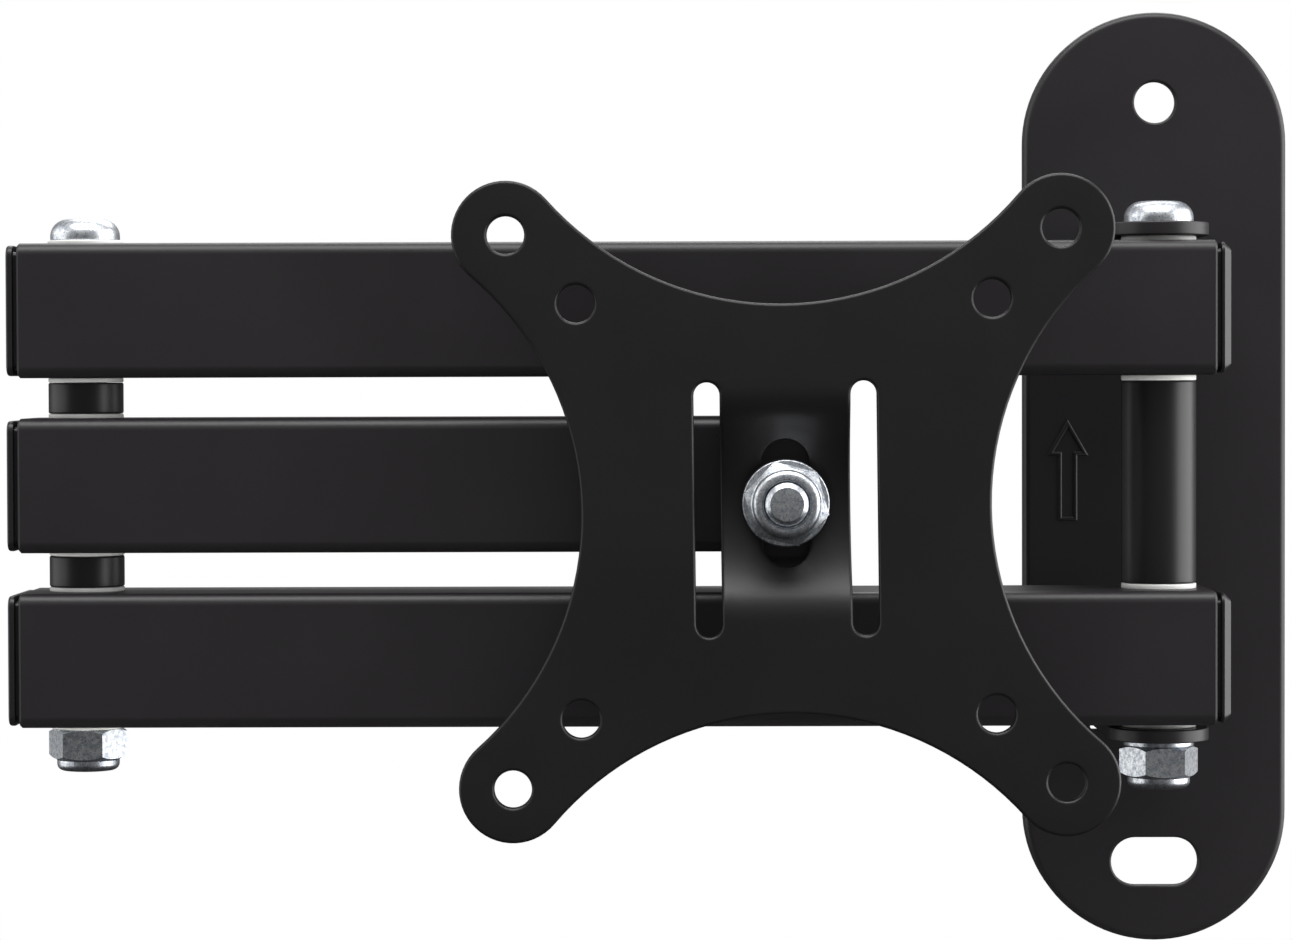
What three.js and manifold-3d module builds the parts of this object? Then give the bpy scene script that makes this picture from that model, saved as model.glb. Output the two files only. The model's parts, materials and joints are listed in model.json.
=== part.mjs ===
// Full motion wall mount for a small flat screen, as three.js and manifold-3d build it.
// Millimetres. X runs along the wall, Y runs into the wall and Z is up.
// The origin is on the face that lies on the wall, in line with the wall pivot.
// At rest the arms are folded, with the screen plate parallel to the wall and hanging a little out of level.

import * as THREE from 'three';
import { mergeVertices } from 'three/addons/utils/BufferGeometryUtils.js';
import Module from 'manifold-3d';

const wasm = await Module();
wasm.setup();

// Wall plate: a pressed pan with full round ends
const wallPlateWidth = 51;
const wallPlateHeight = 181;
const wallPlateDepth = 5;
const wallPlateEdge = 1.3;
const wallPlateX = 2.65;
const wallHoleRadius = 4;
const wallHoleZ = 73;
const wallSlotLength = 17;
const wallSlotHeight = 9.4;
const wallSlotZ = -75;
const arrowX = -17;
const arrowBottom = -8;
const arrowTop = 10.6;

// Steel sheet of the wall plate, the pivot bracket and the clevis
const sheet = 2.5;

// Arms: square tube, two outer arms with the inner arm between them
const tubeSize = 25;
const tubeWall = 1.5;
const tubeCorner = 2.2;
const armPitch = 32.5;
const pivotDepth = 32;
const outerArmLength = 201.6;
const innerArmLength = 130.8;
const elbowOverhang = 11;
const wallOverhang = 9.4;
const capFlange = 2.3;
const wallCapFlange = 2.9;
const capGap = 0.8;
const capInset = 0.4;
const plugLength = 3.8;
const plugWall = 1.4;

// Pivots: M8 bolts in flanged nylon bushes, with sleeves between the tubes
const boltRadius = 3.95;
const boreRadius = 4.25;
const bushRadius = 5.6;
const bushLength = 6;
const flangeRadius = 7;
const wallFlange = 1;
const elbowFlange = 0.8;
const sleeveRadius = 7;
const buttonHeadRadius = 6.5;
const buttonHeadHeight = 4;
const lowHeadHeight = 2.8;
const socketFlats = 5;
const socketDepth = 2;
const nutFlats = 13;
const nutHeight = 8;
const nutCollar = 2.2;
const boltShortfall = 0.8;
const thinNutHeight = 3.2;
const washerRadius = 6.6;
const washerThickness = 1;
const bracketWidth = 18.7;
const earPlay = 0.7;
const runningGap = 0.05;

// Head: a clevis on the inner arm, with the curved tilt joint in front of it
const clevisWidth = 22;
const clevisReach = 18.6;
const headDrop = 3;
const saddleThickness = 1.2;
const saddleRadius = 8;
const slideGap = 0.2;
const tiltWasherRadius = 7.9;
const tiltNutFlats = 13.8;
const tiltNutHeight = 6.5;
const tiltBoltProud = 0.8;
const studHeadRadius = 5.4;
const studHeadThickness = 1.3;

// Screen plate: four lobes round a waisted sheet, with a strip bowed back in the middle
const screenSheet = 2;
const outerPattern = 100;
const innerPattern = 75;
const patternHoleRadius = 3.4;
const lobeRadius = 9.8;
const waistHalf = 37;
const sideSlotX = 14.15;
const sideSlotWidth = 4.7;
const sideSlotLength = 46;
const tiltRadius = 28.6;
const bowDepth = 6.5;
const bowBend = 8;
const tiltSlotWidth = 8.2;
const tiltSlotLength = 23.5;
const bowRise = 0.95;
const outOfLevel = 0.6;

// Values that follow from the sizes above
const tubeHalf = tubeSize / 2;
const stackTop = armPitch + tubeHalf;
const earInner = stackTop + wallFlange + runningGap;
const clevisInner = tubeHalf + elbowFlange + runningGap;
const clevisFront = clevisReach + sheet;
const bowBack = clevisFront + saddleThickness + slideGap;
const screenDepth = bowBack + screenSheet / 2 + bowDepth;
const tiltAxisDepth = bowBack + screenSheet / 2 + tiltRadius;

const blackPaint = new THREE.MeshStandardMaterial({ color: 0x2a2b2e, roughness: 0.5, metalness: 0.3 });
const blackPlastic = new THREE.MeshStandardMaterial({ color: 0x303134, roughness: 0.45, metalness: 0 });
const whiteNylon = new THREE.MeshStandardMaterial({ color: 0xf0f0ea, roughness: 0.5, metalness: 0 });
const zincSteel = new THREE.MeshStandardMaterial({ color: 0xb9c0c9, roughness: 0.35, metalness: 0.9 });

// A closed solid from a geometry whose shared vertices are merged
function solid(geometry) {
  const bare = geometry.index ? geometry.toNonIndexed() : geometry.clone();
  bare.deleteAttribute('normal');
  bare.deleteAttribute('uv');
  const merged = mergeVertices(bare, 1e-4);
  const index = Array.from(merged.index.array);
  const faces = [];
  for (let i = 0; i < index.length; i += 3) {
    const [a, b, c] = index.slice(i, i + 3);
    if (a !== b && b !== c && c !== a) faces.push(a, b, c);
  }
  return new wasm.Manifold(new wasm.Mesh({
    numProp: 3,
    vertProperties: new Float32Array(merged.attributes.position.array),
    triVerts: new Uint32Array(faces),
  }));
}

// The first solid with each of the others cut out of it
function cut(body, ...tools) {
  return tools.reduce((rest, tool) => rest.subtract(tool), body);
}

// All of the solids joined
function join(...bodies) {
  return bodies.reduce((sum, body) => sum.add(body));
}

function box(width, depth, height, x = 0, y = 0, z = 0) {
  return solid(new THREE.BoxGeometry(width, depth, height).translate(x, y, z));
}

// A round bar along Z, from z = low to z = high
function rod(radius, low, high, x = 0, y = 0, steps = 24) {
  const geometry = new THREE.CylinderGeometry(radius, radius, high - low, steps);
  return solid(geometry.rotateX(Math.PI / 2).translate(x, y, (low + high) / 2));
}

// A six-sided bar along Z, with its corners turned by spin
function hexBar(flats, low, high, spin = 0) {
  const geometry = new THREE.CylinderGeometry(flats / Math.sqrt(3), flats / Math.sqrt(3), high - low, 6);
  return solid(geometry.rotateX(Math.PI / 2).rotateZ(spin).translate(0, 0, (low + high) / 2));
}

// A solid turned about Z from (radius, height) points that run upwards
function turned(points, steps = 24) {
  const profile = points.map(([radius, height]) => new THREE.Vector2(radius, height));
  return solid(new THREE.LatheGeometry(profile, steps).rotateX(Math.PI / 2));
}

// A sheet in the XZ plane whose front face is at y = front
function sheetOf(shape, front, thickness, steps = 8) {
  const geometry = new THREE.ExtrudeGeometry(shape, { depth: thickness, bevelEnabled: false, curveSegments: steps });
  return solid(geometry.rotateX(Math.PI / 2).translate(0, front + thickness, 0));
}

// A (y, z) profile swept along X and centred on x = 0
function sweptAlongX(shape, width, steps = 6) {
  const geometry = new THREE.ExtrudeGeometry(shape, { depth: width, bevelEnabled: false, curveSegments: steps });
  const toYZ = new THREE.Matrix4().makeBasis(
    new THREE.Vector3(0, 1, 0),
    new THREE.Vector3(0, 0, 1),
    new THREE.Vector3(1, 0, 0),
  );
  return solid(geometry.translate(0, 0, -width / 2).applyMatrix4(toYZ));
}

// A solid along Z laid down to point to the front, along -Y
function toFront(body) {
  return body.rotate([90, 0, 0]);
}

// An outline with two round ends, of the given whole length along the first axis
function stadium(length, width, upright = false) {
  const radius = width / 2;
  const run = length / 2 - radius;
  const shape = new THREE.Shape();
  if (upright) {
    shape.absarc(0, run, radius, 0, Math.PI);
    shape.absarc(0, -run, radius, Math.PI, 2 * Math.PI);
  } else {
    shape.absarc(-run, 0, radius, Math.PI / 2, 3 * Math.PI / 2);
    shape.absarc(run, 0, radius, -Math.PI / 2, Math.PI / 2);
  }
  return shape;
}

function roundedSquare(size, corner) {
  const c = size / 2 - corner;
  const shape = new THREE.Shape();
  shape.absarc(c, c, corner, 0, Math.PI / 2);
  shape.absarc(-c, c, corner, Math.PI / 2, Math.PI);
  shape.absarc(-c, -c, corner, Math.PI, 3 * Math.PI / 2);
  shape.absarc(c, -c, corner, 3 * Math.PI / 2, 2 * Math.PI);
  return shape;
}

// A mesh of one named sub-part at its place in a group
function addPiece(group, name, body, material, x = 0, y = 0, z = 0) {
  const { vertProperties, triVerts } = body.getMesh();
  const geometry = new THREE.BufferGeometry();
  geometry.setAttribute('position', new THREE.BufferAttribute(new Float32Array(vertProperties), 3));
  geometry.setIndex(new THREE.BufferAttribute(new Uint32Array(triVerts), 1));
  geometry.computeVertexNormals();
  const mesh = new THREE.Mesh(geometry, material);
  mesh.name = name;
  mesh.position.set(x, y, z);
  group.add(mesh);
}

// Fasteners

// A button head bolt: its head stands on z = 0 and its shank hangs below
function buttonBolt(headHeight, length) {
  const shoulder = 0.8;
  const dome = [];
  for (let i = 0; i < 4; i += 1) {
    const angle = (i / 4) * (Math.PI / 2);
    const flat = buttonHeadRadius * 0.48;
    const radius = flat + (buttonHeadRadius - flat) * Math.cos(angle);
    dome.push([radius, shoulder + (headHeight - shoulder) * Math.sin(angle)]);
  }
  const profile = [[0, -length], [boltRadius - 0.6, -length], [boltRadius, 0.6 - length], [boltRadius, 0]];
  profile.push([buttonHeadRadius, 0], ...dome, [buttonHeadRadius * 0.48, headHeight], [0, headHeight]);
  const depth = Math.min(socketDepth, headHeight - 1);
  return cut(turned(profile), hexBar(socketFlats, headHeight - depth, headHeight + 1));
}

// A lock nut that hangs below z = 0, with its nylon collar at the bottom
function lockNut(flats, height, collar, spin = 0) {
  const corner = flats / Math.sqrt(3);
  const chamfer = 0.9;
  const hexBottom = collar - height;
  const chamfered = turned([
    [0, hexBottom],
    [corner - chamfer, hexBottom],
    [corner, hexBottom + chamfer * 0.6],
    [corner, -chamfer * 0.6],
    [corner - chamfer, 0],
    [0, 0],
  ]);
  const hexagon = hexBar(flats, hexBottom, 0, spin).intersect(chamfered);
  const ring = turned([
    [0, -height],
    [flats / 2 - 1.4, -height],
    [flats / 2 - 0.6, 0.8 - height],
    [flats / 2 - 0.6, hexBottom + 0.2],
    [0, hexBottom + 0.2],
  ]);
  const body = collar > 0 ? hexagon.add(ring) : hexagon;
  return cut(body, rod(boreRadius, -height - 1, 1));
}

// A flanged nylon bush: its flange stands on z = 0 and its barrel hangs below
function bush(flange) {
  return turned([
    [boreRadius, -bushLength],
    [bushRadius, -bushLength],
    [bushRadius, 0],
    [flangeRadius, 0],
    [flangeRadius, flange],
    [boreRadius, flange],
    [boreRadius, -bushLength],
  ], 20);
}

function ring(outer, inner, low, high) {
  return turned([[inner, low], [outer, low], [outer, high], [inner, high], [inner, low]]);
}

// Wall bracket

// The pressed arrow that shows which end of the plate goes up
function arrow() {
  const headHalf = 3.4;
  const shaftHalf = 1.5;
  const neck = arrowTop - 5.9;
  const line = 0.7;
  const outline = (grow) => {
    const shape = new THREE.Shape();
    shape.moveTo(0, arrowTop + grow * 1.6);
    shape.lineTo(-headHalf - grow * 1.6, neck - grow);
    shape.lineTo(-shaftHalf - grow, neck - grow);
    shape.lineTo(-shaftHalf - grow, arrowBottom - grow);
    shape.lineTo(shaftHalf + grow, arrowBottom - grow);
    shape.lineTo(shaftHalf + grow, neck - grow);
    shape.lineTo(headHalf + grow * 1.6, neck - grow);
    shape.closePath();
    return shape;
  };
  const shape = outline(0);
  const inside = outline(-line);
  const raised = sheetOf(shape, -wallPlateDepth - 0.35, 1);
  return cut(raised, sheetOf(inside, -wallPlateDepth - 2, 4)).translate([arrowX, 0, 0]);
}

function wallPlate() {
  const shape = stadium(wallPlateHeight - 2 * wallPlateEdge, wallPlateWidth - 2 * wallPlateEdge, true);
  const pressed = new THREE.ExtrudeGeometry(shape, {
    depth: 2 * wallPlateDepth - 2 * wallPlateEdge,
    bevelThickness: wallPlateEdge,
    bevelSize: wallPlateEdge,
    bevelSegments: 3,
    curveSegments: 10,
  });
  const full = solid(pressed.rotateX(Math.PI / 2).translate(0, wallPlateDepth - wallPlateEdge, 0));
  const outside = cut(full, box(80, 20, 200, 0, 10, 0));
  const hollow = sheetOf(stadium(wallPlateHeight - 2 * sheet, wallPlateWidth - 2 * sheet, true), -sheet, 10, 10);
  const hole = toFront(rod(wallHoleRadius, -1, wallPlateDepth + 1)).translate([0, 0, wallHoleZ]);
  const slot = sheetOf(stadium(wallSlotLength, wallSlotHeight), -wallPlateDepth - 1, 10).translate([0, 0, wallSlotZ]);
  const earSlots = [-1, 1].map((side) => (
    box(bracketWidth + 2 * earPlay, 10, sheet + 2 * earPlay, 0, -wallPlateDepth, side * (earInner + sheet / 2))
  ));
  const pan = cut(outside, hollow, hole, slot).add(arrow()).translate([wallPlateX, 0, 0]);
  return cut(pan, ...earSlots);
}

// A channel whose ears carry a pivot: inside height between the ears, with its web at y = web
function channel(inside, web, tip, width, bend) {
  const outer = inside + sheet;
  const inner = bend - sheet > 0 ? bend - sheet : 0.5;
  const side = Math.sign(tip - web);
  const back = web;
  const front = web + side * sheet;
  const shape = new THREE.Shape();
  shape.moveTo(tip, -outer);
  shape.lineTo(back + side * bend, -outer);
  shape.quadraticCurveTo(back, -outer, back, bend - outer);
  shape.lineTo(back, outer - bend);
  shape.quadraticCurveTo(back, outer, back + side * bend, outer);
  shape.lineTo(tip, outer);
  shape.lineTo(tip, inside);
  shape.lineTo(front + side * inner, inside);
  shape.quadraticCurveTo(front, inside, front, inside - inner);
  shape.lineTo(front, inner - inside);
  shape.quadraticCurveTo(front, -inside, front + side * inner, -inside);
  shape.lineTo(tip, -inside);
  shape.closePath();
  return sweptAlongX(shape, width, 5);
}

// The channel behind the wall plate, whose two ears come through it
function pivotBracket() {
  const radius = bracketWidth / 2;
  const tip = -pivotDepth - radius;
  const height = earInner + sheet + 1;
  const blank = channel(earInner, 0, tip, bracketWidth, 3);
  const earShape = join(
    box(bracketWidth, pivotDepth, 2 * height, 0, -pivotDepth / 2, 0),
    rod(radius, -height, height, 0, -pivotDepth, 32),
  );
  return cut(blank.intersect(earShape), rod(boreRadius, -height, height, 0, -pivotDepth));
}

// Arms

// A square tube along X from x = low to x = high, drilled for the bushes at each x of holes
function armTube(low, high, holes) {
  const section = roundedSquare(tubeSize, tubeCorner);
  const hollow = roundedSquare(tubeSize - 2 * tubeWall, tubeCorner - tubeWall);
  const length = high - low;
  const middle = (low + high) / 2;
  const outer = sweptAlongX(section, length, 2).translate([middle, 0, 0]);
  const inner = sweptAlongX(hollow, length + 2, 1).translate([middle, 0, 0]);
  const drills = holes.map((x) => rod(bushRadius + 0.15, -tubeSize, tubeSize, x, 0, 20));
  return cut(outer, inner, ...drills);
}

// A moulded end cap: its flange stands just off the tube's end at x = 0 and its plug goes in along -X
function endCap(flangeEnd) {
  const size = tubeSize - 2 * capInset;
  const plug = tubeSize - 2 * tubeWall - 0.4;
  const edge = 0.6;
  const face = new THREE.ExtrudeGeometry(roundedSquare(size - 2 * edge, tubeCorner - edge), {
    depth: flangeEnd - capGap - 2 * edge,
    bevelThickness: edge,
    bevelSize: edge,
    bevelSegments: 2,
    curveSegments: 2,
  });
  const toX = new THREE.Matrix4().makeBasis(
    new THREE.Vector3(0, 1, 0),
    new THREE.Vector3(0, 0, 1),
    new THREE.Vector3(1, 0, 0),
  );
  const flange = solid(face.translate(0, 0, capGap + edge).applyMatrix4(toX));
  const overlap = capGap + 0.5;
  const plugRun = plugLength + overlap;
  const stem = sweptAlongX(roundedSquare(plug, 0.8), plugRun, 1).translate([overlap - plugRun / 2, 0, 0]);
  const hollow = sweptAlongX(roundedSquare(plug - 2 * plugWall, 0.4), plugLength, 1);
  return cut(join(flange, stem), hollow.translate([-plugLength / 2 - 0.01, 0, 0]));
}

// The two caps of a tube along X, from its elbow end at x = low to x = high, at height z
function addCaps(group, name, low, high, z, highEnd, highFlange) {
  addPiece(group, `${name}_elbow_cap`, endCap(capFlange).rotate([0, 0, 180]), blackPlastic, low, 0, z);
  addPiece(group, `${name}_${highEnd}_cap`, endCap(highFlange), blackPlastic, high, 0, z);
}

// The two bushes of one pivot of a tube, at the top and the bottom of it
function addBushes(group, name, x, z, flange) {
  const top = bush(flange);
  addPiece(group, `${name}_top_bush`, top, whiteNylon, x, 0, z + tubeHalf);
  addPiece(group, `${name}_bottom_bush`, top.rotate([180, 0, 0]), whiteNylon, x, 0, z - tubeHalf);
}

// Head

// The clevis that turns on the inner arm, from its web in front to its round ears
function headClevis() {
  const radius = clevisWidth / 2;
  const height = clevisInner + sheet + 1;
  const blank = channel(clevisInner, -clevisFront, radius, clevisWidth, 3.2);
  const outline = join(
    box(clevisWidth, clevisFront, 2 * height, 0, -clevisFront / 2, 0),
    rod(radius, -height, height, 0, 0, 32),
  );
  const tiltHole = toFront(join(
    rod(boreRadius, 0, clevisFront + 1),
    rod(studHeadRadius + 0.15, 0, clevisReach + studHeadThickness + 0.15),
  ));
  return cut(
    blank.intersect(outline),
    rod(boreRadius, -height, height),
    tiltHole.translate([0, 0, -headDrop]),
  );
}

// A flat disc facing the front, with one side ground to the curve of the bowed strip.
// Depths are measured from the head pivot towards the front.
function saddle(near, far, curve, curveIsFront) {
  const disc = toFront(ring(saddleRadius, boreRadius, near, far));
  const form = rod(curve, -20, 20, 0, 0, 120).rotate([0, 90, 0]).translate([0, -tiltAxisDepth, 0]);
  return curveIsFront ? disc.subtract(form) : disc.intersect(form);
}

// Screen plate, in its own frame: the middle of its thickness is y = 0 and its hole squares are about the origin.
// The bow is centred a little above them.

// The waisted outline: convex lobes at the corners, joined by tangent concave sides
function waistedOutline() {
  const half = outerPattern / 2;
  const lean = half - waistHalf;
  const sideRadius = (lean ** 2 + half ** 2 - lobeRadius ** 2) / (2 * (lobeRadius + lean));
  const sideCentre = waistHalf + sideRadius;
  const touch = Math.atan2(sideCentre - half, half);
  const spread = Math.atan2(half, sideCentre - half);
  const shape = new THREE.Shape();
  const swing = 3 * Math.PI / 4 - touch;
  for (let corner = 0; corner < 4; corner += 1) {
    const turn = corner * Math.PI / 2;
    const diagonal = turn + Math.PI / 4;
    const reach = half * Math.SQRT2;
    const lobeX = reach * Math.cos(diagonal);
    const lobeY = reach * Math.sin(diagonal);
    shape.absarc(lobeX, lobeY, lobeRadius, diagonal - swing, diagonal + swing);
    const facing = turn + Math.PI / 2;
    const inward = facing + Math.PI;
    const sideX = sideCentre * Math.cos(facing);
    const sideY = sideCentre * Math.sin(facing);
    shape.absarc(sideX, sideY, sideRadius, inward + spread, inward - spread, true);
  }
  return shape;
}

// The bowed strip between the side slots, as a band of even thickness
function bowedStrip(width) {
  const centre = bowDepth - tiltRadius;
  const bendZ = Math.sqrt(bowDepth * (2 * tiltRadius - bowDepth + 2 * bowBend));
  const meet = Math.asin(bendZ / (tiltRadius + bowBend));
  const half = screenSheet / 2;
  const flatEnd = sideSlotLength / 2 + bowRise + 0.5;
  const shape = new THREE.Shape();
  shape.moveTo(-half, flatEnd);
  shape.absarc(bowBend, bendZ, bowBend + half, Math.PI, Math.PI + meet);
  shape.absarc(centre, 0, tiltRadius - half, meet, -meet, true);
  shape.absarc(bowBend, -bendZ, bowBend + half, Math.PI - meet, Math.PI);
  shape.lineTo(-half, -flatEnd);
  shape.lineTo(half, -flatEnd);
  shape.absarc(bowBend, -bendZ, bowBend - half, Math.PI, Math.PI - meet, true);
  shape.absarc(centre, 0, tiltRadius + half, -meet, meet);
  shape.absarc(bowBend, bendZ, bowBend - half, Math.PI + meet, Math.PI, true);
  shape.lineTo(half, flatEnd);
  shape.closePath();
  return sweptAlongX(shape, width, 5);
}

function screenPlate() {
  const half = screenSheet / 2;
  const stripWidth = 2 * sideSlotX - sideSlotWidth;
  const flat = sheetOf(waistedOutline(), -half, screenSheet, 7);
  const window = box(stripWidth, 10, sideSlotLength, 0, 0, 0);
  const sideSlot = sheetOf(stadium(sideSlotLength, sideSlotWidth, true), -5, 10, 4);
  const tiltSlot = sheetOf(stadium(tiltSlotLength, tiltSlotWidth, true), -20, 40, 5);
  const drill = toFront(rod(patternHoleRadius, -5, 5));
  const drills = [outerPattern, innerPattern].flatMap((pitch) => (
    [[-1, -1], [1, -1], [1, 1], [-1, 1]].map(([x, z]) => drill.translate([x * pitch / 2, 0, z * pitch / 2]))
  ));
  const pressed = join(cut(flat, window), bowedStrip(stripWidth).translate([0, 0, bowRise]));
  return cut(
    pressed,
    sideSlot.translate([-sideSlotX, 0, 0]),
    sideSlot.translate([sideSlotX, 0, 0]),
    tiltSlot.translate([0, 0, bowRise]),
    ...drills,
  );
}

// Assembly

const mount = new THREE.Group();

// Wall bracket, with the pivot bolt through its ears
const wallBracket = new THREE.Group();
mount.add(wallBracket);
const earTop = earInner + sheet;
const wallBoltLength = 2 * earTop + washerThickness + nutHeight - boltShortfall;
const wallSleeveHalf = armPitch - tubeHalf - wallFlange - runningGap;
addPiece(wallBracket, 'wall_plate', wallPlate(), blackPaint);
addPiece(wallBracket, 'pivot_bracket', pivotBracket(), blackPaint);
addPiece(wallBracket, 'wall_pivot_bolt', buttonBolt(buttonHeadHeight, wallBoltLength), zincSteel,
  0, -pivotDepth, earTop);
addPiece(wallBracket, 'wall_pivot_sleeve', ring(sleeveRadius, boreRadius, -wallSleeveHalf, wallSleeveHalf),
  blackPlastic, 0, -pivotDepth, 0);
addPiece(wallBracket, 'wall_pivot_washer', ring(washerRadius, boreRadius, -washerThickness, 0), zincSteel,
  0, -pivotDepth, -earTop);
addPiece(wallBracket, 'wall_pivot_nut', lockNut(nutFlats, nutHeight, nutCollar), zincSteel,
  0, -pivotDepth, -earTop - washerThickness);

// Outer arms, which swing together on the wall pivot
const outerArms = new THREE.Group();
outerArms.position.set(0, -pivotDepth, 0);
mount.add(outerArms);
for (const [name, side] of [['upper_arm', 1], ['lower_arm', -1]]) {
  const z = side * armPitch;
  const low = -outerArmLength - elbowOverhang;
  addPiece(outerArms, `${name}_tube`, armTube(low, wallOverhang, [0, -outerArmLength]), blackPaint, 0, 0, z);
  addCaps(outerArms, name, low, wallOverhang, z, 'wall', wallCapFlange);
  addBushes(outerArms, `${name}_wall`, 0, z, wallFlange);
  addBushes(outerArms, `${name}_elbow`, -outerArmLength, z, elbowFlange);
}
const elbowTop = stackTop + elbowFlange;
const elbowBoltLength = 2 * elbowTop + nutHeight - boltShortfall;
addPiece(outerArms, 'elbow_bolt', buttonBolt(buttonHeadHeight, elbowBoltLength), zincSteel,
  -outerArmLength, 0, elbowTop);
addPiece(outerArms, 'elbow_nut', lockNut(nutFlats, nutHeight, nutCollar, Math.PI / 9), zincSteel,
  -outerArmLength, 0, -elbowTop);

// Inner arm, which folds between the outer arms on the elbow bolt
const innerArm = new THREE.Group();
innerArm.position.set(-outerArmLength, -pivotDepth, 0);
mount.add(innerArm);
const innerHigh = innerArmLength + wallOverhang;
addPiece(innerArm, 'inner_arm_tube', armTube(-elbowOverhang, innerHigh, [0, innerArmLength]), blackPaint);
addCaps(innerArm, 'inner_arm', -elbowOverhang, innerHigh, 0, 'head', capFlange);
addBushes(innerArm, 'inner_arm_elbow', 0, 0, elbowFlange);
addBushes(innerArm, 'inner_arm_head', innerArmLength, 0, elbowFlange);
const sleeveLow = tubeHalf + elbowFlange + runningGap;
const sleeveHigh = armPitch - tubeHalf - elbowFlange - runningGap;
addPiece(innerArm, 'elbow_upper_sleeve', ring(sleeveRadius, boreRadius, sleeveLow, sleeveHigh), blackPlastic);
addPiece(innerArm, 'elbow_lower_sleeve', ring(sleeveRadius, boreRadius, -sleeveHigh, -sleeveLow), blackPlastic);

// Head, which swivels on the end of the inner arm and carries the tilt bolt
const head = new THREE.Group();
head.position.set(innerArmLength - outerArmLength, -pivotDepth, 0);
mount.add(head);
const clevisTop = clevisInner + sheet;
const stripFront = bowBack + screenSheet;
const saddleFar = stripFront + slideGap + 2 * saddleThickness;
const tiltNutNear = saddleFar + washerThickness;
const tiltBoltEnd = tiltNutNear + tiltNutHeight + tiltBoltProud;
addPiece(head, 'head_clevis', headClevis(), blackPaint);
addPiece(head, 'head_pivot_bolt', buttonBolt(lowHeadHeight, 2 * clevisTop + thinNutHeight + 0.5), zincSteel,
  0, 0, clevisTop);
addPiece(head, 'head_pivot_nut', lockNut(nutFlats, thinNutHeight, 0), zincSteel, 0, 0, -clevisTop);
addPiece(head, 'tilt_bolt', toFront(turned([
  [0, clevisReach],
  [studHeadRadius, clevisReach],
  [studHeadRadius, clevisReach + studHeadThickness],
  [boltRadius, clevisReach + studHeadThickness],
  [boltRadius, tiltBoltEnd - 0.7],
  [boltRadius - 0.7, tiltBoltEnd],
  [0, tiltBoltEnd],
])), zincSteel, 0, 0, -headDrop);
addPiece(head, 'tilt_washer', toFront(ring(tiltWasherRadius, boreRadius, saddleFar, tiltNutNear)), zincSteel,
  0, 0, -headDrop);
const tiltNut = lockNut(tiltNutFlats, tiltNutHeight, nutCollar, Math.PI / 12).rotate([180, 0, 0]);
addPiece(head, 'tilt_nut', toFront(tiltNut.translate([0, 0, tiltNutNear])), zincSteel, 0, 0, -headDrop);

// Curved saddles, which turn on the tilt bolt to level the screen
const saddles = new THREE.Group();
saddles.position.set(innerArmLength - outerArmLength, -pivotDepth, -headDrop);
saddles.rotation.y = -THREE.MathUtils.degToRad(outOfLevel);
mount.add(saddles);
addPiece(saddles, 'tilt_rear_saddle',
  saddle(clevisFront, clevisFront + 2 * saddleThickness, tiltRadius + screenSheet / 2 + slideGap, true),
  blackPlastic);
addPiece(saddles, 'tilt_front_saddle',
  saddle(stripFront - 2, saddleFar, tiltRadius - screenSheet / 2 - slideGap, false),
  blackPlastic);

// Screen plate, which tilts on the saddles about the centre of its bowed strip
const screen = new THREE.Group();
screen.position.set(0, -screenDepth, -bowRise);
saddles.add(screen);
addPiece(screen, 'vesa_plate', screenPlate(), blackPaint);

export default mount;
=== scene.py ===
import json
import math

import bmesh
import bpy
from mathutils import Matrix, Quaternion, Vector
from mathutils.geometry import delaunay_2d_cdt


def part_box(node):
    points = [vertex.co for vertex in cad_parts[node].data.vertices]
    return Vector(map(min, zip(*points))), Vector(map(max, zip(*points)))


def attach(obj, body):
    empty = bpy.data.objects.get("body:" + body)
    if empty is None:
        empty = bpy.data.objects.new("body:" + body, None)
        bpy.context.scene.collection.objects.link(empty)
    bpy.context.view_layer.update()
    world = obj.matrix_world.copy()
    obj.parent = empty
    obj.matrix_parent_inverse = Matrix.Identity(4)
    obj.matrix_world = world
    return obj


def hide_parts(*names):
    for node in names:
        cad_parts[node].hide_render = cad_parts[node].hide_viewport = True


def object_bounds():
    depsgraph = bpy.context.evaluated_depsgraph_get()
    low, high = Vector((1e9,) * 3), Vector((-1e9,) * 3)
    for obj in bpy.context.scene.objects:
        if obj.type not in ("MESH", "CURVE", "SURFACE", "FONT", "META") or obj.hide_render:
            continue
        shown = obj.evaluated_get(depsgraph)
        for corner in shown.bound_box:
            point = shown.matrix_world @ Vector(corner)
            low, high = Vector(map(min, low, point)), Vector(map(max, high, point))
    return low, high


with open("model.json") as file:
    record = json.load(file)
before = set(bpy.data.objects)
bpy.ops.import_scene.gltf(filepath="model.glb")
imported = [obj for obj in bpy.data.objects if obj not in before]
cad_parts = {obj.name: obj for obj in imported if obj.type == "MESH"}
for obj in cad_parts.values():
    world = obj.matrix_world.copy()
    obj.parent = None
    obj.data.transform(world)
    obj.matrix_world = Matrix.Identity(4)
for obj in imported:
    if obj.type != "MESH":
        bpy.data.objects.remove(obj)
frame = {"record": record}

cadLow, cadHigh = [list(corner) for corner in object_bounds()]
record = frame["record"]
bodyOf = {node: body for body, nodes in record["behaviour"]["bodies"].items() for node in nodes}
jointAt = {joint["name"]: Vector(joint.get("pos_m", (0, 0, 0))) for joint in record["behaviour"]["joints"]}
millimetre = 0.001
fullTurn = 2 * math.pi


# Looks: every finish is built from nodes, with pattern sizes in real millimetres

def linearColour(hexCode):
    channels = [int(hexCode[i:i + 2], 16) / 255 for i in (1, 3, 5)]
    return [c / 12.92 if c <= 0.04045 else ((c + 0.055) / 1.055) ** 2.4 for c in channels] + [1.0]


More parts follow.
